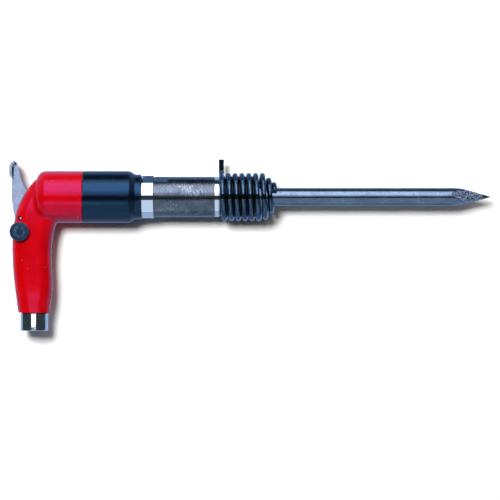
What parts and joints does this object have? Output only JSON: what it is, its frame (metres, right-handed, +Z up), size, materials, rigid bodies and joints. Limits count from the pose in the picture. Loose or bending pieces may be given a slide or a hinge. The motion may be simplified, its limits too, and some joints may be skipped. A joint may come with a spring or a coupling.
{
  "type": "pneumatic chipping hammer",
  "caption": "Pistol-grip air hammer with thumb throttle lever, exhaust sleeve, steel barrel, beehive retainer spring and moil-point chisel.",
  "frame": {"origin": "middle of the outline seen from above, on the plane the tool lies on", "axes": "+X along the barrel to the chisel point, +Y from the air inlet up to the thumb lever, +Z up out of the handle's left cheek; the tool lies on its side"},
  "size_m": [0.5124, 0.1822, 0.0551],
  "materials": {
    "red_casting": "gloss red enamel over cast aluminium",
    "lever_steel": "tumbled zinc-plated steel",
    "black_knob": "black oxide, worn",
    "black_sleeve": "satin black",
    "barrel_steel": "turned steel with scratches",
    "spring_steel": "black oxide spring wire",
    "chisel_steel": "hardened blue-grey tool steel",
    "chrome_plate": "bright chrome",
    "inner_steel": "ground steel",
    "brass_parts": "turned brass",
    "black_rubber": "nitrile rubber"
  },
  "bodies": {
    "hammer": {"handle_housing": "red_casting", "lever_pivot_pin": "inner_steel", "throttle_valve_seat": "brass_parts", "throttle_stem_bushing": "brass_parts", "throttle_valve_spring": "inner_steel", "inlet_bushing": "chrome_plate", "inlet_gasket": "black_rubber", "inlet_strainer": "brass_parts", "regulator_o_ring": "black_rubber", "valve_chest_cap": "inner_steel", "valve_block": "inner_steel", "valve_seat_plate": "inner_steel", "valve_dowel_pins": "inner_steel", "barrel": "barrel_steel", "barrel_lock_ring": "inner_steel", "sleeve_snap_ring": "inner_steel", "exhaust_sleeve": "black_sleeve", "front_bushing": "inner_steel", "retainer_spring": "spring_steel"},
    "lever": {"throttle_lever": "lever_steel"},
    "valve": {"throttle_valve": "inner_steel", "throttle_valve_seal": "black_rubber"},
    "regulator": {"regulator_plug": "inner_steel", "regulator_knob": "black_knob", "regulator_screw": "black_knob"},
    "spool": {"distributor_valve": "inner_steel"},
    "striker": {"piston": "inner_steel"},
    "bit": {"chisel": "chisel_steel"}
  },
  "joints": [
    {"name": "lever_hinge", "type": "hinge", "parent": "hammer", "child": "lever", "pos_m": [-0.2446, 0.0287, 0.02755], "axis": [0, 0, -1], "range_deg": [0, 12], "stiffness_Nm_per_rad": 0.8, "springref_deg": -17.19},
    {"name": "throttle_slide", "type": "slide", "parent": "hammer", "child": "valve", "axis": [0, -1, 0], "range_m": [0, 0.0033], "deforming": ["throttle_valve_spring"]},
    {"name": "regulator_turn", "type": "hinge", "parent": "hammer", "child": "regulator", "pos_m": [-0.2446, 0.0142, 0.02755], "axis": [0, 0, 1], "range_deg": [-90, 0]},
    {"name": "spool_slide", "type": "slide", "parent": "hammer", "child": "spool", "axis": [1, 0, 0], "range_m": [0, 0.0019]},
    {"name": "piston_slide", "type": "slide", "parent": "hammer", "child": "striker", "axis": [-1, 0, 0], "range_m": [0, 0.075]},
    {"name": "chisel_slide", "type": "slide", "parent": "hammer", "child": "bit", "axis": [1, 0, 0], "range_m": [0, 0.005]}
  ],
  "couplings": [
    {"joint": "throttle_slide", "follows": "lever_hinge", "m_per_rad": 0.0155}
  ]
}
